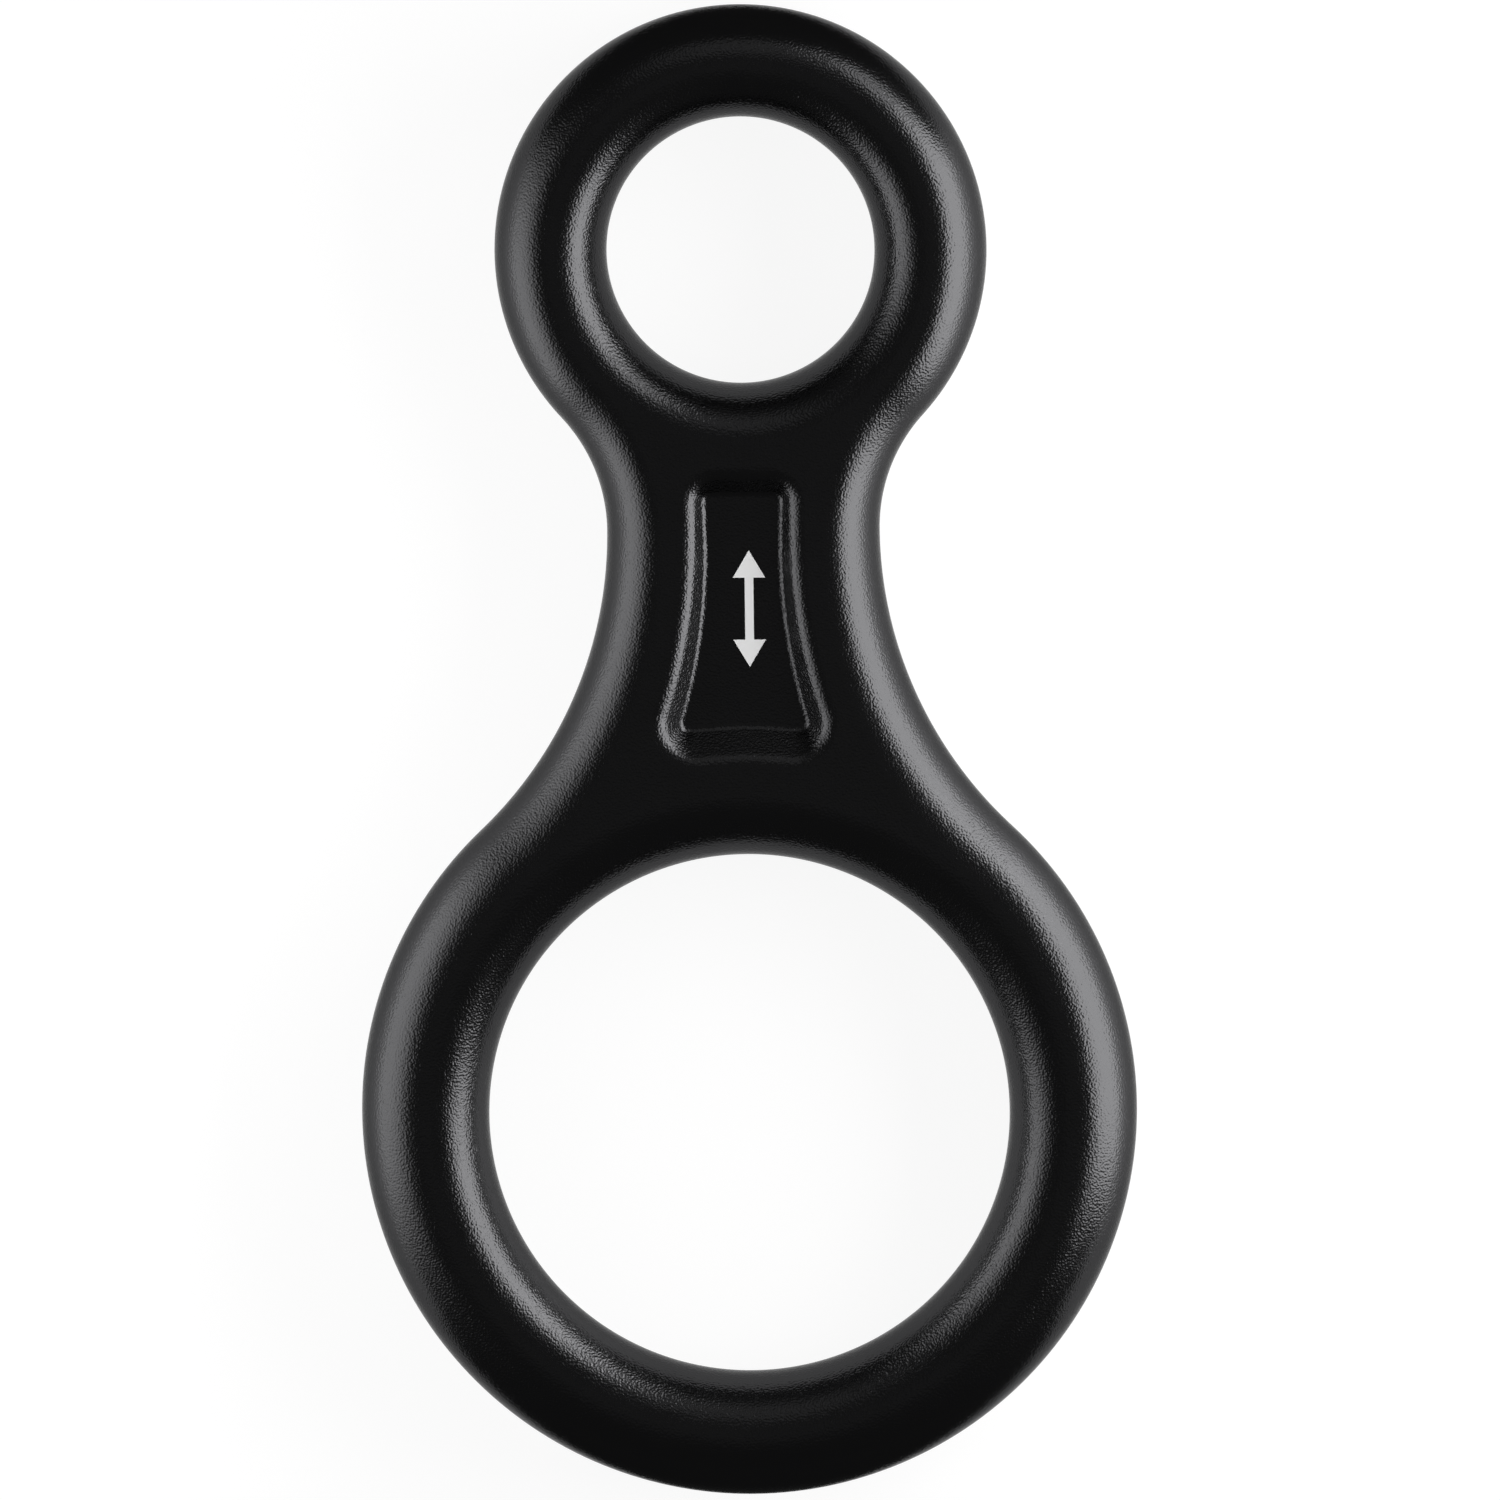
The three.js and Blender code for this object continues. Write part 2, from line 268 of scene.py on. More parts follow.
@dataclass
class Surface:
    """Collects grids and flats of the upper half, then makes the closed mesh of both halves.

    Attributes:
        points: The points of each grid or flat, in millimetres.
        faces: Their triangles, by the points' running numbers.
        smooth: Whether each triangle is shaded smooth.
        count: How many points there are so far.
    """

    points: list[np.ndarray] = field(default_factory=list)
    faces: list[np.ndarray] = field(default_factory=list)
    smooth: list[np.ndarray] = field(default_factory=list)
    count: int = 0

    def add_grid(self, grid: np.ndarray) -> None:
        """Adds a grid of points, with quads between neighbours.

        Args:
            grid: Points in columns and rows. Faces look up where columns run to the left.
        """
        columns, rows = grid.shape[:2]
        index = self.count + np.arange(columns * rows).reshape(columns, rows)
        quads = np.stack([index[:-1, :-1], index[1:, :-1], index[1:, 1:], index[:-1, 1:]], axis=-1)
        quads = quads.reshape(-1, 4)
        triangles = np.concatenate([quads[:, [0, 1, 2]], quads[:, [0, 2, 3]]])
        self._keep(grid.reshape(-1, 3), triangles, is_smooth=True)

    def add_flat(self, contour: np.ndarray, hole: np.ndarray | None,
                 height: float | np.ndarray) -> None:
        """Fills a flat outline, with an optional hole in it.

        Args:
            contour: Plan points of the outline.
            hole: Plan points of the hole, or None.
            height: The height of the flat, or of each of its points where it leans.
        """
        loops = [contour] if hole is None else [contour, hole]
        plan = np.concatenate(loops)
        filled = tessellate_polygon([[Vector((*p, 0.0)) for p in loop] for loop in loops])
        triangles = np.array(filled, dtype=int)
        a, b, c = (plan[triangles[:, k]] for k in range(3))
        turn = np.cross(b - a, c - a)
        triangles = np.where((turn > 0)[:, None], triangles, triangles[:, ::-1])
        points = np.column_stack([plan, np.broadcast_to(height, len(plan))])
        self._keep(points, triangles[turn != 0] + self.count, is_smooth=False)

    def _keep(self, points: np.ndarray, triangles: np.ndarray, is_smooth: bool) -> None:
        """Stores points and triangles.

        Args:
            points: The points, in millimetres.
            triangles: Three running point numbers to a row.
            is_smooth: Whether the triangles are shaded smooth.
        """
        self.points.append(points)
        self.faces.append(triangles)
        self.smooth.append(np.full(len(triangles), is_smooth))
        self.count += len(points)

    def mesh(self, name: str, middle_height: float) -> Mesh:
        """Mirrors the upper half in its middle plane, joins the halves and makes the mesh.

        Args:
            name: The mesh's name.
            middle_height: The height of the middle plane above the floor, in millimetres.

        Returns:
            A closed mesh in metres, with its doubles merged.
        """
        upper = np.concatenate(self.points)
        faces = np.concatenate(self.faces)
        smooth = np.concatenate(self.smooth)
        lower = upper * np.array([1.0, 1.0, -1.0])
        both = np.concatenate([upper, lower]) + np.array([0.0, 0.0, middle_height])
        mirrored = faces[:, ::-1] + len(upper)
        mesh = bpy.data.meshes.new(name)
        merged, index = merge_points(both * METRES)
        triangles = index[np.concatenate([faces, mirrored])]
        flags = np.concatenate([smooth, smooth])
        whole = (triangles != np.roll(triangles, 1, axis=1)).all(axis=1)
        fill_mesh(mesh, merged, triangles[whole], flags[whole])
        return mesh


def merge_points(points: np.ndarray) -> tuple[np.ndarray, np.ndarray]:
    """Merges points that fall into the same tiny cell of space.

    Args:
        points: Points in metres.

    Returns:
        The points that are left, and the new number of each old one.
    """
    cells = np.round(points / MERGE_DISTANCE).astype(np.int64)
    _, first, index = np.unique(cells, axis=0, return_index=True, return_inverse=True)
    return points[first], index.reshape(-1)


def fill_mesh(mesh: Mesh, points: np.ndarray, triangles: np.ndarray, smooth: np.ndarray) -> None:
    """Puts points and triangles into a mesh as whole arrays.

    Args:
        mesh: The empty mesh.
        points: Points in metres.
        triangles: Three point numbers to a row.
        smooth: Whether each triangle is shaded smooth.
    """
    mesh.vertices.add(len(points))
    mesh.vertices.foreach_set("co", points.astype(np.float32).ravel())
    mesh.loops.add(triangles.size)
    mesh.loops.foreach_set("vertex_index", triangles.astype(np.int32).ravel())
    mesh.polygons.add(len(triangles))
    mesh.polygons.foreach_set("loop_start", np.arange(0, triangles.size, 3, dtype=np.int32))
    mesh.polygons.foreach_set("use_smooth", smooth)
    mesh.update(calc_edges=True)
    mesh.validate()


def new_object(name: str, data: ID, material: Material | None = None) -> Object:
    """Makes an object at the origin for a mesh, lamp or camera.

    Args:
        name: The object's name.
        data: The mesh, lamp or camera.
        material: The finish of a mesh.

    Returns:
        The object, linked to the scene.
    """
    if material is not None:
        data.materials.append(material)
    made = bpy.data.objects.new(name, data)
    bpy.context.scene.collection.objects.link(made)
    return made


@dataclass(frozen=True)
class Panel:
    """The sunk panel in each face of the web: narrow at the neck and flared towards the rope eye.

    Its floor is flat and sinks evenly from the narrow end to the wide one. Its wall has a convex
    lip, a straight slope and a concave foot.

    Attributes:
        narrow_y: The place of the narrow end along Y, where its wall starts to fall.
        wide_y: The place of the middle of the wide end.
        neck_y: Where the straight sides start to flare.
        narrow_half: Half of the width at the narrow end.
        wide_end_radius: The radius of the wide end's arch, which runs along the large ring.
        flare_share: How far each side flares out, as a share of the flare's length.
        narrow_depth: The floor's depth at the narrow end.
        wide_depth: Its depth at the wide end.
        side_slope: The slope of the wall's straight part on the sides, in degrees.
        end_slope: The same in the middle of both ends.
        lip_radius: The radius of the wall's convex top.
        foot_radius: The radius of its concave foot.
        floor_corner_radius: The radius of the floor's corners in plan.
        floor_passes: How often the floor's outline and its depth are worked out in turn.
    """

    narrow_y: float
    wide_y: float
    neck_y: float
    narrow_half: float
    wide_end_radius: float
    flare_share: float = 0.22
    narrow_depth: float = 1.42
    wide_depth: float = 2.05
    side_slope: float = 51.0
    end_slope: float = 40.0
    lip_radius: float = 1.9
    foot_radius: float = 0.85
    floor_corner_radius: float = 0.3
    floor_passes: int = 4

    end_steps: int = 14
    corner_steps: int = 18
    flare_steps: int = 44
    lip_steps: int = 16
    foot_steps: int = 12

    def _slope(self, inward: np.ndarray, depth: np.ndarray) -> np.ndarray:
        """The wall's steepest slope, from the side's to the end's as it turns to face along Y.

        It follows the square of the inward direction's Y, and is less where the depth is small.

        Args:
            inward: Unit directions from the edge towards the floor.
            depth: The floor's depth at each of them.

        Returns:
            The slopes, in radians.
        """
        facing = inward[..., 1] ** 2
        wanted = np.radians(self.side_slope + (self.end_slope - self.side_slope) * facing)
        radii = self.lip_radius + self.foot_radius
        return np.minimum(wanted, np.arccos(np.maximum(0, 1 - depth / radii)))

    def _run(self, inward: np.ndarray, depth: np.ndarray) -> np.ndarray:
        """The wall's reach in plan: the sum of radii times sine, plus the rest over tangent."""
        radii, slope = self.lip_radius + self.foot_radius, self._slope(inward, depth)
        return radii * np.sin(slope) + (depth - radii * (1 - np.cos(slope))) / np.tan(slope)

    @property
    def _end_runs(self) -> tuple[float, float]:
        """The wall's run at the narrow end and at the wide one."""
        return (float(self._run(np.array([0.0, -1.0]), np.array(self.narrow_depth))),
                float(self._run(np.array([0.0, 1.0]), np.array(self.wide_depth))))

    def depth(self, along_y: np.ndarray) -> np.ndarray:
        """The floor's depth, in a straight line between both ends' depths.

        Args:
            along_y: Places along Y.

        Returns:
            The depth at each place.
        """
        narrow_run, wide_run = self._end_runs
        narrow, wide = self.narrow_y - narrow_run, self.wide_y + wide_run
        share = (narrow - along_y) / (narrow - wide)
        return self.narrow_depth + (self.wide_depth - self.narrow_depth) * share

    def outlines(self) -> tuple[np.ndarray, np.ndarray, np.ndarray]:
        """The wall's outer edge and the floor's outline, point for point and counterclockwise.

        The side runs straight to the neck and then flares out along an arc that is tangent to it.
        The wide corner touches the end's arch and the flare from inside. Each floor point lies
        inward of its edge point by the wall's run at the depth there.

        Returns:
            Plan points of the edge and of the floor and the directions inward, without the first
            ones repeated.
        """
        narrow_corner, wide_corner = (run + self.floor_corner_radius for run in self._end_runs)
        high = np.array([self.narrow_half - narrow_corner, self.narrow_y - narrow_corner])
        flare_y = min(self.neck_y, high[1])
        radius = (flare_y - self.wide_y) * (1 + self.flare_share ** 2) / (2 * self.flare_share)
        flare_centre = np.array([self.narrow_half + radius, flare_y])
        arch_centre = np.array([0.0, self.wide_y - self.wide_end_radius])
        low = self._tangent_centre(arch_centre, self.wide_end_radius + wide_corner,
                                   flare_centre, radius + wide_corner)
        arch_turn, flare_turn = (math.atan2(*(far - low)[::-1])
                                 for far in (arch_centre, flare_centre))

        along = np.linspace(0, 1, self.end_steps + 1)
        turns = np.linspace(0, 1, self.corner_steps + 1)[1:]
        narrow_angles = QUARTER_TURN * (1 - turns)
        flare_angles = np.linspace(math.pi, math.pi + flare_turn, self.flare_steps + 1)[1:]
        wide_angles = flare_turn + (arch_turn - flare_turn) * turns
        arch_angles = (arch_turn + math.pi + (QUARTER_TURN - arch_turn - math.pi) * along)[1:]
        edge = np.concatenate([
            np.column_stack([along * high[0], np.full(along.size, self.narrow_y)]),
            circle_points(high, narrow_corner, narrow_angles),
            np.column_stack([np.full(along.size, self.narrow_half),
                             np.linspace(high[1], flare_y, along.size)])[1:],
            circle_points(flare_centre, radius, flare_angles),
            circle_points(low, wide_corner, wide_angles),
            circle_points(arch_centre, self.wide_end_radius, arch_angles),
        ])
        inward = np.concatenate([
            np.tile([0.0, -1.0], (along.size, 1)),
            -circle_points(np.zeros(2), 1.0, narrow_angles),
            np.tile([-1.0, 0.0], (self.end_steps, 1)),
            circle_points(np.zeros(2), 1.0, flare_angles),
            -circle_points(np.zeros(2), 1.0, wide_angles),
            circle_points(np.zeros(2), 1.0, arch_angles),
        ])
        floor = edge
        for _ in range(self.floor_passes):
            floor = edge + inward * self._run(inward, self.depth(floor[:, 1]))[:, None]
        return self._whole(edge), self._whole(floor), self._whole(inward)

    @staticmethod
    def _tangent_centre(first: np.ndarray, first_reach: float, second: np.ndarray,
                        second_reach: float) -> np.ndarray:
        """The point at these two distances from two centres, on the left of the way between them.

        Args:
            first: One centre.
            first_reach: The distance from it.
            second: The other centre.
            second_reach: The distance from that one.

        Returns:
            The point in plan.
        """
        way = second - first
        gap = np.linalg.norm(way)
        along = (gap ** 2 + first_reach ** 2 - second_reach ** 2) / (2 * gap)
        aside = math.sqrt(first_reach ** 2 - along ** 2)
        unit = way / gap
        return first + unit * along + np.array([-unit[1], unit[0]]) * aside

    @staticmethod
    def _whole(half: np.ndarray) -> np.ndarray:
        """Mirrors a right half, from the narrow end to the wide one, into a whole outline."""
        return np.concatenate([half[::-1], half[1:-1] * MIRROR_X])

    def walls(self, height: float) -> np.ndarray:
        """The walls from the edge to the floor.

        Along the lip the wall moves in by r sine(a) and falls by r (1 - cosine(a)), up to the
        slope's angle, the foot mirrors it, and a straight slope joins them.

        Args:
            height: The height of the web's face above the middle plane.

        Returns:
            A closed grid of points, one column for each point of the edge.
        """
        edge, floor, inward_way = self.outlines()
        depth = self.depth(floor[:, 1])
        slope, run = self._slope(inward_way, depth)[:, None], self._run(inward_way, depth)[:, None]
        depth = depth[:, None]
        lip_angles = slope * np.linspace(0, 1, self.lip_steps + 1)
        foot_angles = slope * np.linspace(1, 0, self.foot_steps + 1)
        inward = np.concatenate([self.lip_radius * np.sin(lip_angles),
                                 run - self.foot_radius * np.sin(foot_angles)], axis=1)
        drop = np.concatenate([self.lip_radius * (1 - np.cos(lip_angles)),
                               depth - self.foot_radius * (1 - np.cos(foot_angles))], axis=1)
        plan = edge[:, None] + (floor - edge)[:, None] * (inward / run)[..., None]
        grid = np.concatenate([plan, (height - drop)[..., None]], axis=2)
        return np.concatenate([grid, grid[:1]])


@dataclass
class Forging:
    """The forged body: a connector eye at +Y, a rope eye at -Y and the web between them.

    Attributes:
        large_ring_radius: The outer radius of the large ring.
        length: The whole length.
        thickness: The whole thickness.
        small_eye_radius: The radius of the connector eye's edge.
        small_ring_radius: The outer radius of the small ring.
        large_eye_radius: The radius of the rope eye's edge.
        large_eye_shift: How far the rope eye's centre lies below its ring's.
        neck_width: The width at the neck's narrowest point.
        neck_from_small_ring: How far that point lies below the small ring's centre.
        small_crest_land: The flat between the small ring's crest and the panel.
        large_crest_land: The same at the large ring.
        neck_side_land: The same at the neck's sides.
        section_steps: How many steps a quarter of the section has.
        section_ease: How strongly those steps shrink towards the crest.
    """

    large_ring_radius: float
    length: float
    thickness: float
    small_eye_radius: float = 10.72
    small_ring_radius: float = 19.7
    large_eye_radius: float = 20.87
    large_eye_shift: float = 0.3
    neck_width: float = 21.84
    neck_from_small_ring: float = 22.5
    small_crest_land: float = 1.68
    large_crest_land: float = 2.2
    neck_side_land: float = 1.18

    section_steps: int = 32
    section_ease: float = 1.5
    small_ring_steps: int = 130
    small_web_steps: int = 50
    large_ring_steps: int = 180
    large_web_steps: int = 64
    neck_small_steps: int = 34
    neck_large_steps: int = 44

    def __post_init__(self) -> None:
        """Places the rings, the neck's arcs and the panel from the driving sizes."""
        half = self.length / 2
        self.small_ring = Ring(half - self.small_ring_radius, self.small_ring_radius,
                               self.small_eye_radius)
        self.large_ring = Ring(self.large_ring_radius - half, self.large_ring_radius,
                               self.large_eye_radius, self.large_eye_shift)
        self.crest_height = self.thickness / 2
        self.neck_y = self.small_ring.centre_y - self.neck_from_small_ring
        self.small_arc = NeckArc(self.small_ring, self.neck_y, self.neck_width / 2)
        self.large_arc = NeckArc(self.large_ring, self.neck_y, self.neck_width / 2)
        self.panel = self._panel()

    def _panel(self) -> Panel:
        """The panel fills the web's flat, less the land left all round it.

        Returns:
            The panel.
        """
        small, large = self.small_ring, self.large_ring
        narrowest = self._neck_side(self.small_arc, np.array([math.pi]))[1][0]
        return Panel(
            narrow_y=small.centre_y - small.crest_radius - self.small_crest_land,
            wide_y=(large.centre_y + large.crest_drift[1] + large.crest_radius
                    + self.large_crest_land),
            neck_y=self.neck_y,
            narrow_half=narrowest[0] - self.neck_side_land,
            wide_end_radius=large.crest_radius + self.large_crest_land,
        )

    def _neck_side(self, arc: NeckArc, angles: np.ndarray) -> tuple[np.ndarray, np.ndarray]:
        """Edge and crest of the neck's side. The width eases from one ring's to the other's.

        Args:
            arc: The arc that the edge follows.
            angles: Angles round the arc's centre.

        Returns:
            The edge's plan points and the crest's.
        """
        small, large = self.small_ring, self.large_ring
        top = small.outer(np.array([self.small_arc.tangent_angle]))[0, 1]
        bottom = large.outer(np.array([self.large_arc.tangent_angle]))[0, 1]
        edge = circle_points(arc.centre, arc.radius, angles)
        blend = smoothstep((edge[:, 1] - bottom) / (top - bottom))
        width = large.half_width + (small.half_width - large.half_width) * blend
        crest = circle_points(arc.centre, arc.radius + width, angles)
        return edge, crest + (1 - blend)[:, None] * large.crest_drift

    def _right_neck(self) -> tuple[np.ndarray, np.ndarray]:
        """The neck's right side, from the large ring up to the small one.

        Returns:
            The plan points of its edge and of its crest.
        """
        low, high = self.large_arc.tangent_angle, self.small_arc.tangent_angle
        lower = np.linspace(math.pi + low, math.pi, self.neck_large_steps + 1)
        upper = np.linspace(math.pi, math.pi + high, self.neck_small_steps + 1)
        low_edge, low_crest = self._neck_side(self.large_arc, lower)
        high_edge, high_crest = self._neck_side(self.small_arc, upper[1:])
        return np.concatenate([low_edge, high_edge]), np.concatenate([low_crest, high_crest])

    def _band(self, edge: np.ndarray, crest: np.ndarray) -> np.ndarray:
        """The rounded band from an edge in the middle plane up to its crest.

        Each column is a quarter of an ellipse: in plan the crest plus cosine(rise) times the way
        to the edge, and in height half the thickness times sine(rise).

        Args:
            edge: Plan points of the edge.
            crest: Plan points of the crest, one for each.

        Returns:
            A grid of points, one column for each pair.
        """
        rises = eased_rises(self.section_steps, self.section_ease)
        plan = crest[:, None] + (edge - crest)[:, None] * np.cos(rises)[None, :, None]
        height = np.broadcast_to(self.crest_height * np.sin(rises), plan.shape[:2])
        return np.concatenate([plan, height[..., None]], axis=2)

    def mesh(self) -> Mesh:
        """The closed mesh of the whole forging.

        Returns:
            The mesh, in metres, lying on Z = 0.
        """
        small, large = self.small_ring, self.large_ring
        small_tangent, large_tangent = self.small_arc.tangent_angle, self.large_arc.tangent_angle
        small_ring = np.linspace(small_tangent, math.pi - small_tangent, self.small_ring_steps + 1)
        small_web = np.linspace(math.pi - small_tangent, small_tangent + FULL_TURN,
                                self.small_web_steps + 1)
        large_ring = np.linspace(math.pi - large_tangent, large_tangent + FULL_TURN,
                                 self.large_ring_steps + 1)
        large_web = np.linspace(large_tangent, math.pi - large_tangent, self.large_web_steps + 1)
        neck_edge, neck_crest = self._right_neck()
        left_edge, left_crest = neck_edge[::-1] * MIRROR_X, neck_crest[::-1] * MIRROR_X

        small_turn = np.concatenate([small_ring, small_web[1:]])[::-1]
        large_turn = np.concatenate([large_ring, large_web[1:] + FULL_TURN])[::-1]
        surface = Surface()
        for edge, crest in (
            (small.outer(small_ring), small.crest(small_ring)),
            (large.outer(large_ring), large.crest(large_ring)),
            (neck_edge, neck_crest),
            (left_edge, left_crest),
            (small.eye(small_turn), small.crest(small_turn)),
            (large.eye(large_turn), large.crest(large_turn)),
        ):
            surface.add_grid(self._band(edge, crest))
        contour = np.concatenate([neck_crest[1:], small.crest(small_web[::-1])[1:],
                                  left_crest[1:], large.crest(large_web[::-1])[1:]])
        rim, floor, _ = self.panel.outlines()
        surface.add_flat(contour, rim, self.crest_height)
        surface.add_grid(self.panel.walls(self.crest_height))
        surface.add_flat(floor, None, self.crest_height - self.panel.depth(floor[:, 1]))
        return surface.mesh(BODY_NODE, self.crest_height)

    def build(self, finish: Material) -> Object:
        """Makes the body in place of the plain solid.

        Args:
            finish: The anodised finish.

        Returns:
            The finished piece.
        """
        body = new_object("forged_body", self.mesh(), finish)
        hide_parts(BODY_NODE)
        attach(body, BODY)
        return body


@dataclass
class LoadMark:
    """A plain double headed arrow printed in white on the panel's floor, along the load's line.

    Attributes:
        panel: The panel that it is printed in.
        face_height: The height of the web's face.
        middle: The arrow's middle in plan.
        length: Its length from tip to tip.
        head_width: The width of each head.
        head_length: The length of each head.
        shaft_width: The width of the shaft.
        ink_thickness: How far the ink stands off the metal.
    """

    panel: Panel
    face_height: float
    middle: tuple[float, float] = (0.47, 11.8)
    length: float = 9.4
    head_width: float = 2.6
    head_length: float = 2.2
    shaft_width: float = 0.7
    ink_thickness: float = 0.02

    def outline(self) -> np.ndarray:
        """The arrow's outline: a quarter of it, mirrored to the other end and the other side.

        Returns:
            Plan points, counterclockwise from the tip at +Y.
        """
        half, head = self.length / 2, self.head_width / 2
        shaft, shoulder = self.shaft_width / 2, self.length / 2 - self.head_length
        upper_left = np.array([[0, half], [-head, shoulder], [-shaft, shoulder]])
        lower_left = upper_left[::-1] * np.array([1.0, -1.0])
        left = np.concatenate([upper_left, lower_left])
        right = left[1:-1][::-1] * MIRROR_X
        return np.concatenate([left, right]) + np.array(self.middle)

    def build(self, finish: Material) -> Object:
        """Makes the thin print, a closed prism that stands on the panel's floor.

        Args:
            finish: The ink.

        Returns:
            The finished piece.
        """
        plan = self.outline()
        count = len(plan)
        low = np.column_stack([plan, self.face_height - self.panel.depth(plan[:, 1])])
        high = low + np.array([0.0, 0.0, self.ink_thickness])
        here = np.arange(count)
        after = np.roll(here, -1)
        sides = np.concatenate([np.stack([here, after, after + count], axis=1),
                                np.stack([here, after + count, here + count], axis=1)])
        triangles = np.concatenate([sides, ARROW_TRIANGLES + count, ARROW_TRIANGLES[:, ::-1]])
        mesh = bpy.data.meshes.new("load_direction_mark")
        fill_mesh(mesh, np.concatenate([low, high]) * METRES, triangles,
                  np.zeros(len(triangles), bool))
        mark = new_object("load_direction_mark", mesh, finish)
        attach(mark, BODY)
        return mark


@dataclass(frozen=True)
class BlackAnodisedAluminium:
    """Hot forged aluminium, tumbled, etched and dyed black in its anodised skin.

    The skin is near black with a satin gloss. The etched grain under it breaks up the edges of
    every highlight into fine speckle, while the middle of a highlight stays smooth. The real
    speckle is 0.12 to 0.16 mm across and is drawn a little coarser, so that the render shows it.

    Attributes:
        colour: What the skin reflects when it is looked at straight on.
        rim_tint: How much of the full grazing reflection the skin keeps.
        roughness: The middle of its roughness.
        roughness_spread: How far the roughness wanders from patch to patch.
        grain_mm: The width of the grain.
        grain_height_mm: The height of the grain.
        patch_mm: The width of a patch.
    """

    colour: str = "#3B3B3C"
    rim_tint: str = "#C4C4C4"
    roughness: float = 0.235
    roughness_spread: float = 0.03
    grain_mm: float = 0.17
    grain_height_mm: float = 0.032
    patch_mm: float = 2.5

    def material(self) -> Material:
        """Builds the finish.

        Returns:
            The material.
        """
        made = bpy.data.materials.new("black_anodised_aluminium")
        tree, surface = new_tree(made)
        place = add_node(tree, "ShaderNodeTexCoord").outputs["Object"]
        grain = add_node(tree, "ShaderNodeTexNoise", {"Vector": place},
                         scale=1 / (self.grain_mm * METRES), detail=0.0)
        patch = add_node(tree, "ShaderNodeTexNoise", {"Vector": place},
                         scale=1 / (self.patch_mm * METRES), detail=2.0)
        bump = add_node(tree, "ShaderNodeBump", {"Height": grain.outputs["Fac"]},
                        strength=1.0, distance=self.grain_height_mm * METRES)
        gloss = add_node(tree, "ShaderNodeMapRange", {"Value": patch.outputs["Fac"]},
                         to_min=self.roughness - self.roughness_spread,
                         to_max=self.roughness + self.roughness_spread)
        shader = add_node(tree, "ShaderNodeBsdfPrincipled",
                          {"Roughness": gloss.outputs["Result"], "Normal": bump.outputs["Normal"]},
                          base_color=srgb(self.colour), metallic=1.0,
                          specular_tint=srgb(self.rim_tint))
        tree.links.new(shader.outputs["BSDF"], surface)
        return made


@dataclass(frozen=True)
class WhiteInk:
    """White screen printing ink, a matt coat with the metal's grain just showing through it."""

    colour: str = "#F8F8F8"
    roughness: float = 0.55
    grain_mm: float = 0.25
    grain_height_mm: float = 0.004

    def material(self) -> Material:
        """Builds the finish.

        Returns:
            The material.
        """
        made = bpy.data.materials.new("white_ink")
        tree, surface = new_tree(made)
        place = add_node(tree, "ShaderNodeTexCoord").outputs["Object"]
        grain = add_node(tree, "ShaderNodeTexNoise", {"Vector": place},
                         scale=1 / (self.grain_mm * METRES), detail=2.0)
        bump = add_node(tree, "ShaderNodeBump", {"Height": grain.outputs["Fac"]},
                        distance=self.grain_height_mm * METRES)
        shader = add_node(tree, "ShaderNodeBsdfPrincipled", {"Normal": bump.outputs["Normal"]},
                          base_color=srgb(self.colour), roughness=self.roughness)
        tree.links.new(shader.outputs["BSDF"], surface)
        return made


@dataclass(frozen=True)
class SoftBox:
    """An upright soft box beside the object, whose light fades out towards its edges.

    Attributes:
        side: The side that it stands on.
        distance: How far it stands from the middle.
        ends: Its lowest and highest Y.
        top: The height of its upper edge above the floor.
        radiance: The light that its face sends out, where 1 is white.
        fades: How far in from the low Y end, the high Y end and the upper edge the light takes to
            reach its full strength.
    """

    side: Side
    distance: float
    ends: tuple[float, float]
    top: float
    radiance: float
    fades: tuple[float, float, float]

    def _fade_light(self, light: Light) -> None:
        """Makes the light rise smoothly from nothing at each edge to full strength.

        The strength is the product of three smooth rises, in from both ends along Y and down from
        the upper edge.

        Args:
            light: The lamp.
        """
        tree, surface = new_tree(light, "ShaderNodeOutputLight")
        place = add_node(tree, "ShaderNodeNewGeometry").outputs["Position"]
        parts = add_node(tree, "ShaderNodeSeparateXYZ", {"Vector": place}).outputs
        low, high = self.ends
        edges = (("Y", low, low + self.fades[0]), ("Y", high, high - self.fades[1]),
                 ("Z", self.top, self.top - self.fades[2]))
        rises = [add_node(tree, "ShaderNodeMapRange", {"Value": parts[part]},
                          interpolation_type="SMOOTHSTEP", from_min=edge, from_max=full)
                 .outputs["Result"] for part, edge, full in edges]
        ends = add_node(tree, "ShaderNodeMath", {0: rises[0], 1: rises[1]}, operation="MULTIPLY")
        every = add_node(tree, "ShaderNodeMath", {0: ends.outputs[0], 1: rises[2]},
                         operation="MULTIPLY")
        shine = add_node(tree, "ShaderNodeEmission", {"Strength": every.outputs[0]})
        tree.links.new(shine.outputs[0], surface)

    def build(self) -> None:
        """Makes the lamp, which the camera doesn't see."""
        width = self.ends[1] - self.ends[0]
        light = bpy.data.lights.new(f"soft_box_{self.side.name.lower()}", "AREA")
        light.shape = "RECTANGLE"
        light.size, light.size_y = width, self.top
        light.energy = self.radiance * math.pi * width * self.top
        self._fade_light(light)
        lamp = new_object(light.name, light)
        lamp.location = (self.side.value * self.distance, sum(self.ends) / 2, self.top / 2)
        lamp.rotation_euler = (QUARTER_TURN, 0, self.side.value * QUARTER_TURN)
        lamp.visible_camera = False


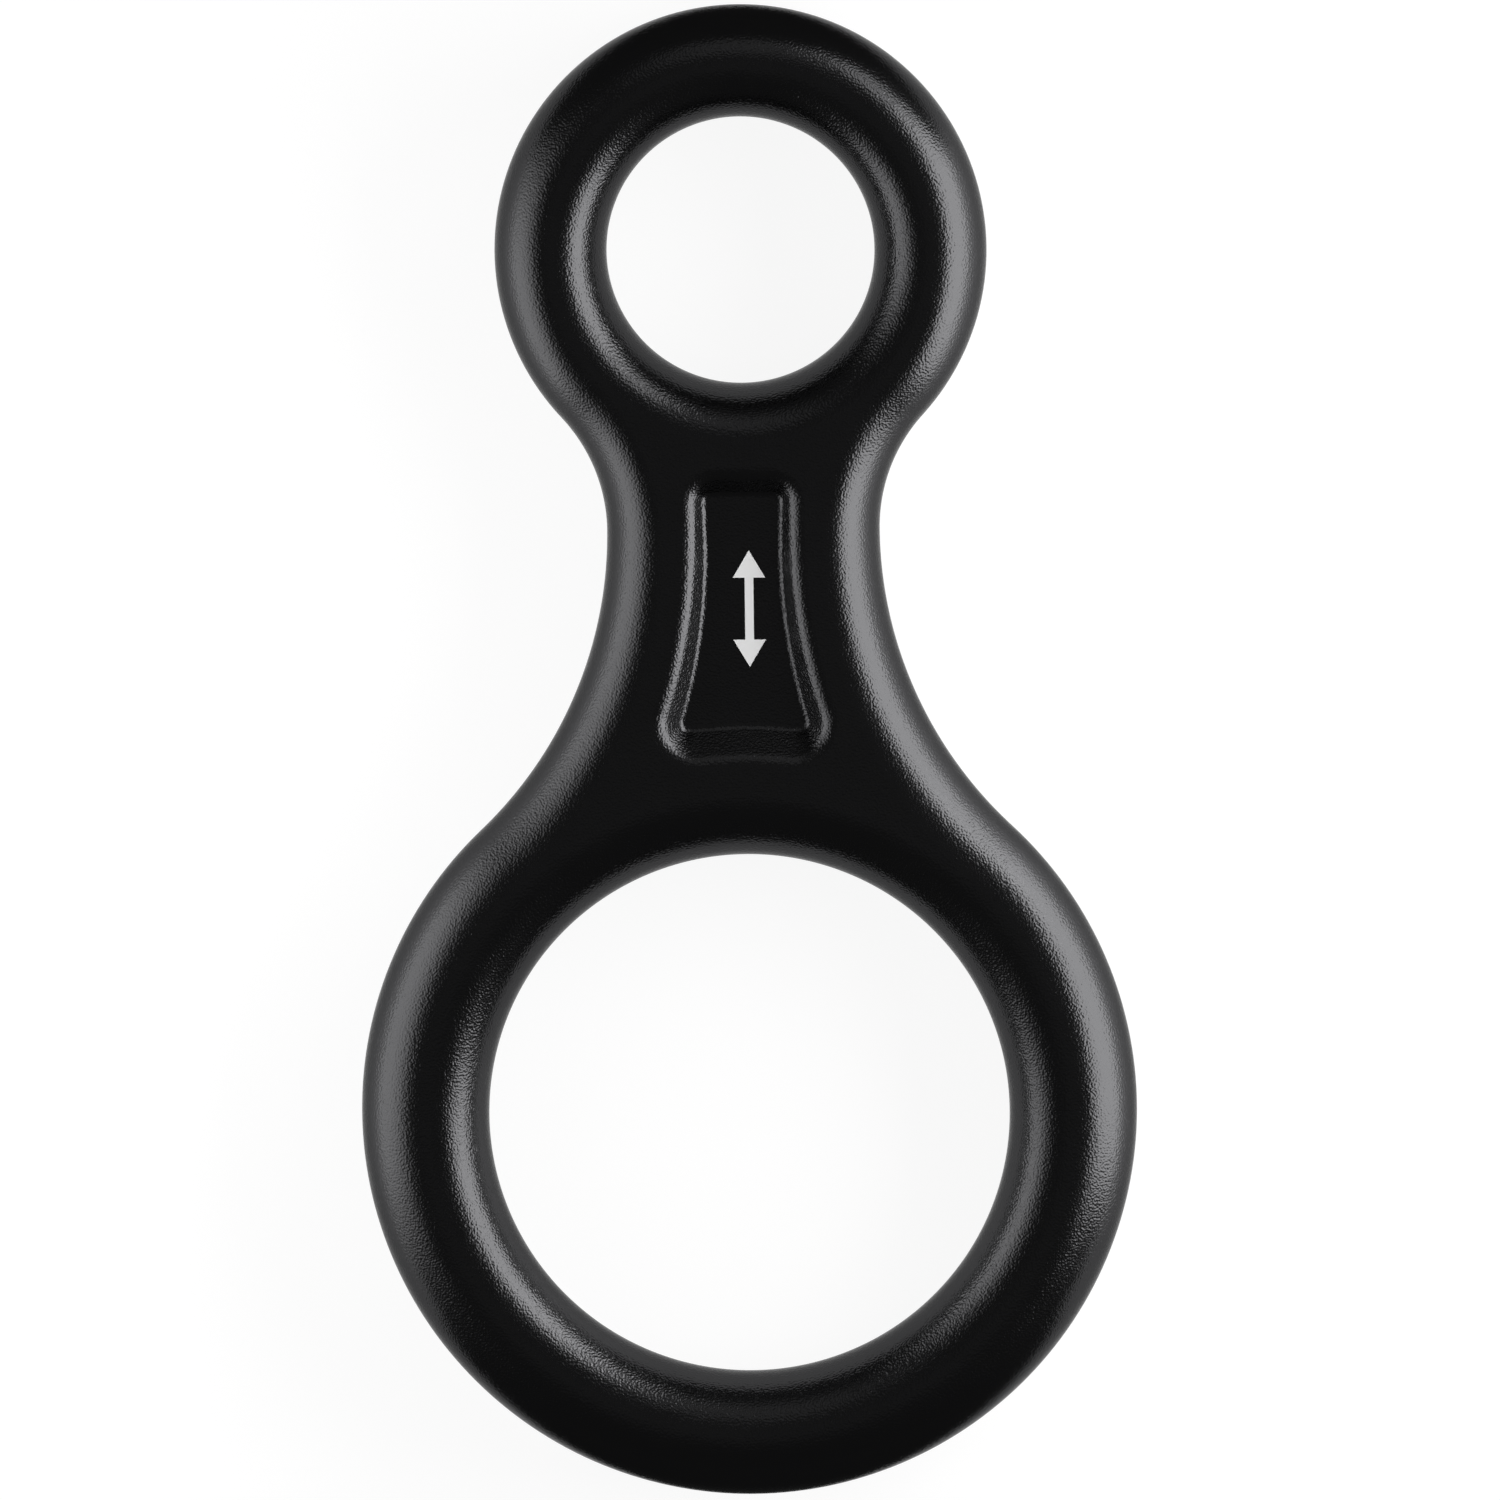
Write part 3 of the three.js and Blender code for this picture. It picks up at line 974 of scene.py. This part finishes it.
@dataclass(frozen=True)
class Glow:
    """A faint round glow on the inside of the hood.

    Attributes:
        azimuth: The direction that it lies in, in degrees from +X towards +Y.
        polar: Its angle from straight up, in degrees.
        inner: The radius of its full part, in degrees.
        outer: The radius at which it has faded out, in degrees.
        radiance: Its light, where 1 is white.
    """

    azimuth: float
    polar: float
    inner: float
    outer: float
    radiance: float

    @property
    def axis(self) -> tuple[float, float, float]:
        """The unit direction from the object to the glow's middle."""
        azimuth, polar = math.radians(self.azimuth), math.radians(self.polar)
        return (math.sin(polar) * math.cos(azimuth), math.sin(polar) * math.sin(azimuth),
                math.cos(polar))


@dataclass
class Studio:
    """The pale floor, two soft boxes, dark flags at both ends and a dark hood over them.

    Attributes:
        boxes: The soft boxes.
        glows: The faint glows on the hood.
        hood_radius: The hood's radius in metres, round the origin.
        hood_colour: The colour of its cloth.
        hood_glow: Its even faint light, where 1 is white.
        flag_y: How far each flag stands from the middle, in metres.
        flag_size: The flags' width and height in metres.
        floor_radius: The floor's radius in metres.
        floor_glow: The floor's own light, where the lamps leave it short of white.
    """

    boxes: tuple[SoftBox, ...] = (
        SoftBox(Side.RIGHT, distance=0.145, ends=(-0.086, 0.145), top=0.15, radiance=6.2,
                fades=(0.02, 0.015, 0.02)),
        SoftBox(Side.LEFT, distance=0.12, ends=(-0.11, 0.115), top=0.17, radiance=3.35,
                fades=(0.07, 0.09, 0.14)),
    )
    glows: tuple[Glow, ...] = (
        Glow(azimuth=90.0, polar=0.0, inner=6.0, outer=24.0, radiance=0.065),
        Glow(azimuth=50.0, polar=62.0, inner=6.0, outer=17.0, radiance=3.2),
        Glow(azimuth=92.0, polar=47.0, inner=6.0, outer=26.0, radiance=0.28),
    )
    hood_radius: float = 1.0
    hood_colour: str = "#101010"
    hood_glow: float = 0.088
    hood_facets: tuple[int, int] = (64, 32)
    flag_y: float = 0.062
    flag_size: tuple[float, float] = (0.09, 0.013)
    floor_radius: float = 4.0
    floor_facets: int = 96
    floor_colour: str = "#6C6C6C"
    floor_roughness: float = 0.32
    floor_glow: float = 0.9

    def build(self) -> None:
        """Makes the floor, the world, the hood, the flags and the lamps."""
        cloth = self._black_cloth()
        self._floor()
        self._world()
        self._hood(cloth)
        self._flags(cloth)
        for box in self.boxes:
            box.build()

    @staticmethod
    def _seen(tree: NodeTree) -> NodeSocket:
        """One for camera, glossy and transmission rays, and zero for the others.

        Args:
            tree: The node tree that gets the nodes.

        Returns:
            The socket that carries the number.
        """
        path = add_node(tree, "ShaderNodeLightPath").outputs
        either = add_node(tree, "ShaderNodeMath",
                          {0: path["Is Camera Ray"], 1: path["Is Glossy Ray"]}, operation="ADD")
        every = add_node(tree, "ShaderNodeMath",
                         {0: either.outputs[0], 1: path["Is Transmission Ray"]},
                         operation="ADD", use_clamp=True)
        return every.outputs[0]

    def _floor(self) -> None:
        """A round sheet of coated paper, white where it is seen, that keeps a faint shadow."""
        made = bpy.data.materials.new("pale_paper")
        tree, surface = new_tree(made)
        coated = add_node(tree, "ShaderNodeBsdfPrincipled", base_color=srgb(self.floor_colour),
                          roughness=self.floor_roughness)
        strength = add_node(tree, "ShaderNodeMath", {0: self._seen(tree), 1: self.floor_glow},
                            operation="MULTIPLY")
        tree.links.new(add_glow(tree, coated, strength.outputs[0]), surface)
        bpy.ops.mesh.primitive_circle_add(vertices=self.floor_facets, radius=self.floor_radius,
                                          fill_type="NGON")
        floor = bpy.context.object
        floor.name = "floor"
        floor.data.materials.append(made)

    def _world(self) -> None:
        """A white world for the rays that see it, and no light from it otherwise."""
        world = bpy.data.worlds.new("studio_world")
        bpy.context.scene.world = world
        tree, surface = new_tree(world, "ShaderNodeOutputWorld")
        background = add_node(tree, "ShaderNodeBackground", {"Strength": self._seen(tree)})
        tree.links.new(background.outputs[0], surface)

    def _black_cloth(self) -> Material:
        """Black cloth, faintly lit, with the glows on it where the light gets round the hood.

        A glow's strength rises smoothly from zero at its outer radius to full at its inner one,
        measured as the cosine between the place on the hood and the glow's axis.

        Returns:
            The material, for a sphere round the origin.
        """
        made = bpy.data.materials.new("black_cloth")
        tree, surface = new_tree(made)
        place = add_node(tree, "ShaderNodeTexCoord").outputs["Object"]
        unit = add_node(tree, "ShaderNodeVectorMath", {0: place}, operation="NORMALIZE").outputs[0]
        strength = self.hood_glow
        for glow in self.glows:
            toward = add_node(tree, "ShaderNodeVectorMath", {0: unit, 1: glow.axis},
                              operation="DOT_PRODUCT").outputs["Value"]
            rise = add_node(tree, "ShaderNodeMapRange", {"Value": toward},
                            interpolation_type="SMOOTHSTEP",
                            from_min=math.cos(math.radians(glow.outer)),
                            from_max=math.cos(math.radians(glow.inner)), to_max=glow.radiance)
            strength = add_node(tree, "ShaderNodeMath", {0: strength, 1: rise.outputs["Result"]},
                                operation="ADD").outputs[0]
        matt = add_node(tree, "ShaderNodeBsdfDiffuse", color=srgb(self.hood_colour))
        tree.links.new(add_glow(tree, matt, strength), surface)
        return made

    def _hood(self, cloth: Material) -> None:
        """A dark cloth dome, which the camera looks through, so that the crests reflect black.

        Args:
            cloth: The cloth.
        """
        segments, rings = self.hood_facets
        bpy.ops.mesh.primitive_uv_sphere_add(segments=segments, ring_count=rings,
                                             radius=self.hood_radius)
        hood = bpy.context.object
        hood.name = "hood"
        hood.data.materials.append(cloth)
        hood.visible_camera = False

    def _flags(self, cloth: Material) -> None:
        """Low dark cards across both ends, out of the picture, which darken the end rims.

        Args:
            cloth: The cloth.
        """
        width, height = self.flag_size
        for name, y in (("flag_high", self.flag_y), ("flag_low", -self.flag_y)):
            corners = [(x, y, z) for z in (0.0, height) for x in (-width / 2, width / 2)]
            mesh = bpy.data.meshes.new(name)
            mesh.from_pydata(corners, [], [(0, 1, 3, 2)])
            flag = new_object(name, mesh, cloth)
            flag.visible_camera = False
            flag.visible_shadow = False


@dataclass
class PhotoCamera:
    """A long lens high above the object, tilted a little towards +X and +Y as in the photograph.

    Attributes:
        middle_height: The height of the object's middle, in millimetres.
        tilt_x: How far the camera leans towards +X, in degrees.
        tilt_y: The same towards +Y.
        roll: How far it is turned about its own axis, in degrees.
        distance: How far it is from the object's middle, in metres.
        sensor_mm: The width of its sensor.
        picture_px: The width of the picture.
        px_per_mm: The scale of the picture at the object's middle.
        middle_px: Where that middle falls, from the picture's left and upper edges.
        far_clip: The farthest distance that it sees, in metres.
    """

    middle_height: float
    tilt_x: float = 1.0
    tilt_y: float = 6.0
    roll: float = 0.6
    distance: float = 3.0
    sensor_mm: float = 36.0
    picture_px: float = 1500.0
    px_per_mm: float = 12.477
    middle_px: tuple[float, float] = (745.74, 750.37)
    far_clip: float = 100.0

    def build(self) -> None:
        """Makes the camera and aims it so that the object's middle falls on middle_px."""
        tilt = math.radians(math.hypot(self.tilt_x, self.tilt_y))
        heading = math.atan2(self.tilt_y, self.tilt_x)
        back = Vector((math.cos(heading) * math.sin(tilt), math.sin(heading) * math.sin(tilt),
                       math.cos(tilt)))
        level_up = (Vector((0, 1, 0)) - back * back.y).normalized()
        level_right = level_up.cross(back)
        lean = math.radians(self.roll)
        up = level_up * math.cos(lean) + level_right * math.sin(lean)
        right = level_right * math.cos(lean) - level_up * math.sin(lean)
        centre_px = self.picture_px / 2
        aside = (centre_px - self.middle_px[0]) / self.px_per_mm * METRES
        above = (self.middle_px[1] - centre_px) / self.px_per_mm * METRES
        aim = Vector((0, 0, self.middle_height * METRES)) + right * aside + up * above

        lens = bpy.data.cameras.new("photo_camera")
        lens.sensor_width = self.sensor_mm
        lens.lens = self.sensor_mm * self.distance * self.px_per_mm / (self.picture_px * METRES)
        lens.clip_end = self.far_clip
        camera = new_object("photo_camera", lens)
        turn = Matrix((right, up, back)).transposed().to_4x4()
        camera.matrix_world = Matrix.Translation(aim + back * self.distance) @ turn
        bpy.context.scene.camera = camera


def main() -> None:
    logging.basicConfig(level=logging.INFO, format="%(name)s: %(message)s")
    low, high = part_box(BODY_NODE)
    size = (high - low) / METRES
    forging = Forging(large_ring_radius=size.x / 2, length=size.y, thickness=size.z)
    PhotoCamera(middle_height=forging.crest_height).build()
    body = forging.build(BlackAnodisedAluminium().material())
    LOG.info("%s has %d triangles", body.name, len(body.data.polygons))
    mark = LoadMark(forging.panel, forging.thickness).build(WhiteInk().material())
    LOG.info("%s has %d triangles", mark.name, len(mark.data.polygons))
    Studio().build()
    bpy.context.scene.view_settings.view_transform = "Standard"


if __name__ == "__main__":
    main()
